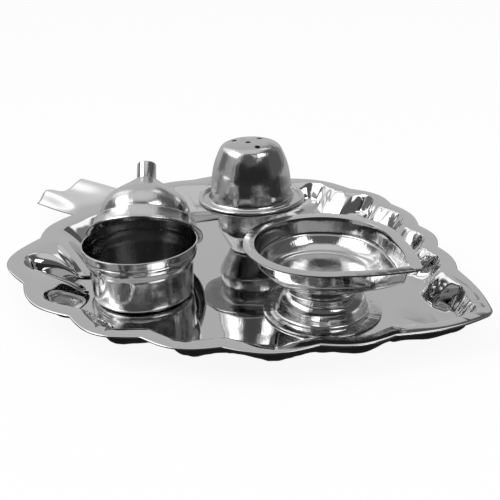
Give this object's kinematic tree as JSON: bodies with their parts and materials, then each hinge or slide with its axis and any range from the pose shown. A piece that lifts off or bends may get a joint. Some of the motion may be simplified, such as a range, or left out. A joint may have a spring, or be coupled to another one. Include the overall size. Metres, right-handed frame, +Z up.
{
  "type": "kumkum plate",
  "caption": "Leaf-shaped steel worship tray with a fluted rim and corrugated stalk, carrying a lidded kumkum pot, an incense stand with a perforated dome, and a footed oil lamp.",
  "frame": {"origin": "on the tray's flat underside, on the leaf's axis, 135 mm behind its tip", "axes": "+X along the leaf's axis towards its tip, +Y towards the incense stand's side, +Z up"},
  "size_m": [0.3073, 0.2368, 0.0682],
  "materials": {
    "tray_steel": "mirror-polished stainless steel",
    "pot_steel": "polished stainless steel with faint turning marks",
    "lid_steel": "mirror-polished stainless steel",
    "stand_steel": "mirror-polished stainless steel",
    "lamp_steel": "mirror-polished stainless steel"
  },
  "bodies": {
    "tray": {"tray": "tray_steel"},
    "pot": {"pot": "pot_steel"},
    "lid": {"lid_shell": "lid_steel", "lid_knob": "lid_steel"},
    "incense_cup": {"incense_cup": "stand_steel"},
    "incense_cap": {"incense_cap": "stand_steel"},
    "lamp": {"diya_bowl": "lamp_steel", "diya_foot": "lamp_steel"}
  },
  "joints": [
    {"name": "pot_lift", "type": "slide", "parent": "tray", "child": "pot", "axis": [0, 0, 1], "range_m": [0, 0.08]},
    {"name": "lid_lift", "type": "slide", "parent": "pot", "child": "lid", "axis": [0, 0, 1], "range_m": [0, 0.07]},
    {"name": "incense_cup_lift", "type": "slide", "parent": "tray", "child": "incense_cup", "axis": [0, 0, 1], "range_m": [0, 0.08]},
    {"name": "incense_cap_lift", "type": "slide", "parent": "incense_cup", "child": "incense_cap", "axis": [0, 0, 1], "range_m": [0, 0.04]},
    {"name": "lamp_lift", "type": "slide", "parent": "tray", "child": "lamp", "axis": [0, 0, 1], "range_m": [0, 0.08]}
  ]
}
